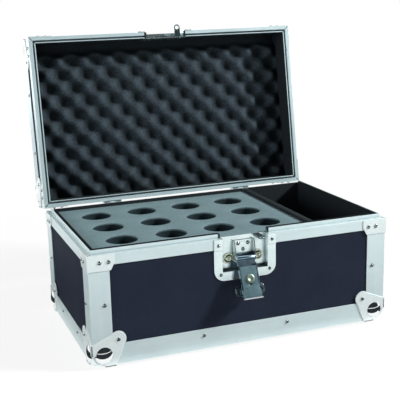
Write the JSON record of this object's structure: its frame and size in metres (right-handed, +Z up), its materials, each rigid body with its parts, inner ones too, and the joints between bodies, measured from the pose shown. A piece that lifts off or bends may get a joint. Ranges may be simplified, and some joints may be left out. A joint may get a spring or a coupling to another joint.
{
  "type": "foam-lined microphone case",
  "caption": "Aluminium-edged flight case with ball corners, a hinged lid with egg-crate foam, a foam block with microphone holes, an accessory compartment and a butterfly latch.",
  "frame": {"origin": "on the floor, under the middle of the base", "axes": "+X along the front to the viewer's right, +Y from front to back, +Z up"},
  "size_m": [0.47, 0.4249, 0.45],
  "materials": {
    "laminate": "dark laminate on board, fine matt grain",
    "aluminium": "bright satin extruded aluminium",
    "chrome": "bright plated pressed steel",
    "brace_steel": "bright zinc plated pressed steel",
    "dish_steel": "bright zinc plated pressed steel",
    "latch_steel": "zinc plated steel, slightly dulled",
    "grey_foam": "grey closed-cell foam, fine pores",
    "black_foam": "black open-cell foam",
    "divider_board": "dark felted board",
    "grip": "black moulded rubber"
  },
  "bodies": {
    "base": {"base_front_panel": "laminate", "base_rear_panel": "laminate", "base_left_panel": "laminate", "base_right_panel": "laminate", "base_bottom_panel": "laminate", "base_front_sill": "aluminium", "base_right_sill": "aluminium", "base_rear_sill": "aluminium", "base_left_sill": "aluminium", "base_corner_posts": "aluminium", "base_corner_braces": "brace_steel", "base_ball_corners": "chrome", "base_front_rim": "aluminium", "base_right_rim": "aluminium", "base_rear_rim": "aluminium", "base_left_rim": "aluminium", "foam_block": "grey_foam", "foam_floor_pad": "black_foam", "compartment_divider": "divider_board", "compartment_floor_pad": "black_foam", "latch_dish": "dish_steel", "base_padlock_eye": "latch_steel", "latch_bracket": "latch_steel", "latch_hinge_pin": "latch_steel", "hinge_base_leaves": "latch_steel", "hinge_pins": "latch_steel"},
    "lid": {"lid_front_panel": "laminate", "lid_rear_panel": "laminate", "lid_left_panel": "laminate", "lid_right_panel": "laminate", "lid_top_panel": "laminate", "lid_front_edge": "aluminium", "lid_right_edge": "aluminium", "lid_rear_edge": "aluminium", "lid_left_edge": "aluminium", "lid_corner_posts": "aluminium", "lid_corner_braces": "brace_steel", "lid_ball_corners": "chrome", "lid_front_rim": "aluminium", "lid_right_rim": "aluminium", "lid_rear_rim": "aluminium", "lid_left_rim": "aluminium", "lid_foam": "black_foam", "lid_latch_dish": "dish_steel", "lid_padlock_eye": "latch_steel", "latch_strike": "latch_steel", "hinge_lid_leaves": "latch_steel", "handle_brackets": "latch_steel"},
    "latch_leaf": {"latch_leaf": "latch_steel", "claw_guide_rivet": "latch_steel"},
    "claw": {"latch_claw": "latch_steel"},
    "butterfly": {"butterfly_hub": "latch_steel", "wing_pins": "latch_steel"},
    "left_wing": {"wing_left": "latch_steel"},
    "right_wing": {"wing_right": "latch_steel"},
    "handle": {"handle_bail": "latch_steel", "handle_grip": "grip"}
  },
  "joints": [
    {"name": "lid_hinge", "type": "hinge", "parent": "base", "child": "lid", "pos_m": [0, 0.1428, 0.16315], "axis": [1, 0, 0], "range_deg": [0, 99.3]},
    {"name": "claw_swing", "type": "hinge", "parent": "base", "child": "latch_leaf", "pos_m": [0, -0.1365, 0.133], "axis": [-1, 0, 0], "range_deg": [0, 156]},
    {"name": "butterfly_twist", "type": "hinge", "parent": "latch_leaf", "child": "butterfly", "pos_m": [0, -0.15521, 0.09098], "axis": [0, -0.9135, 0.4067], "range_deg": [0, 180]},
    {"name": "claw_draw", "type": "slide", "parent": "latch_leaf", "child": "claw", "axis": [0, 0.4067, 0.9135], "range_m": [0, 0.006]},
    {"name": "left_wing_fold", "type": "hinge", "parent": "butterfly", "child": "left_wing", "pos_m": [-0.0095, -0.1521, 0.08959], "axis": [0, -0.4067, -0.9135], "range_deg": [0, 90]},
    {"name": "right_wing_fold", "type": "hinge", "parent": "butterfly", "child": "right_wing", "pos_m": [0.0095, -0.1521, 0.08959], "axis": [0, 0.4067, 0.9135], "range_deg": [0, 90]},
    {"name": "handle_swing", "type": "hinge", "parent": "lid", "child": "handle", "pos_m": [0, 0.24251, 0.29152], "axis": [1, 0, 0], "range_deg": [-9.3, 170.7]}
  ],
  "couplings": [
    {"joint": "claw_draw", "follows": "butterfly_twist", "m_per_rad": 0.0019098}
  ]
}
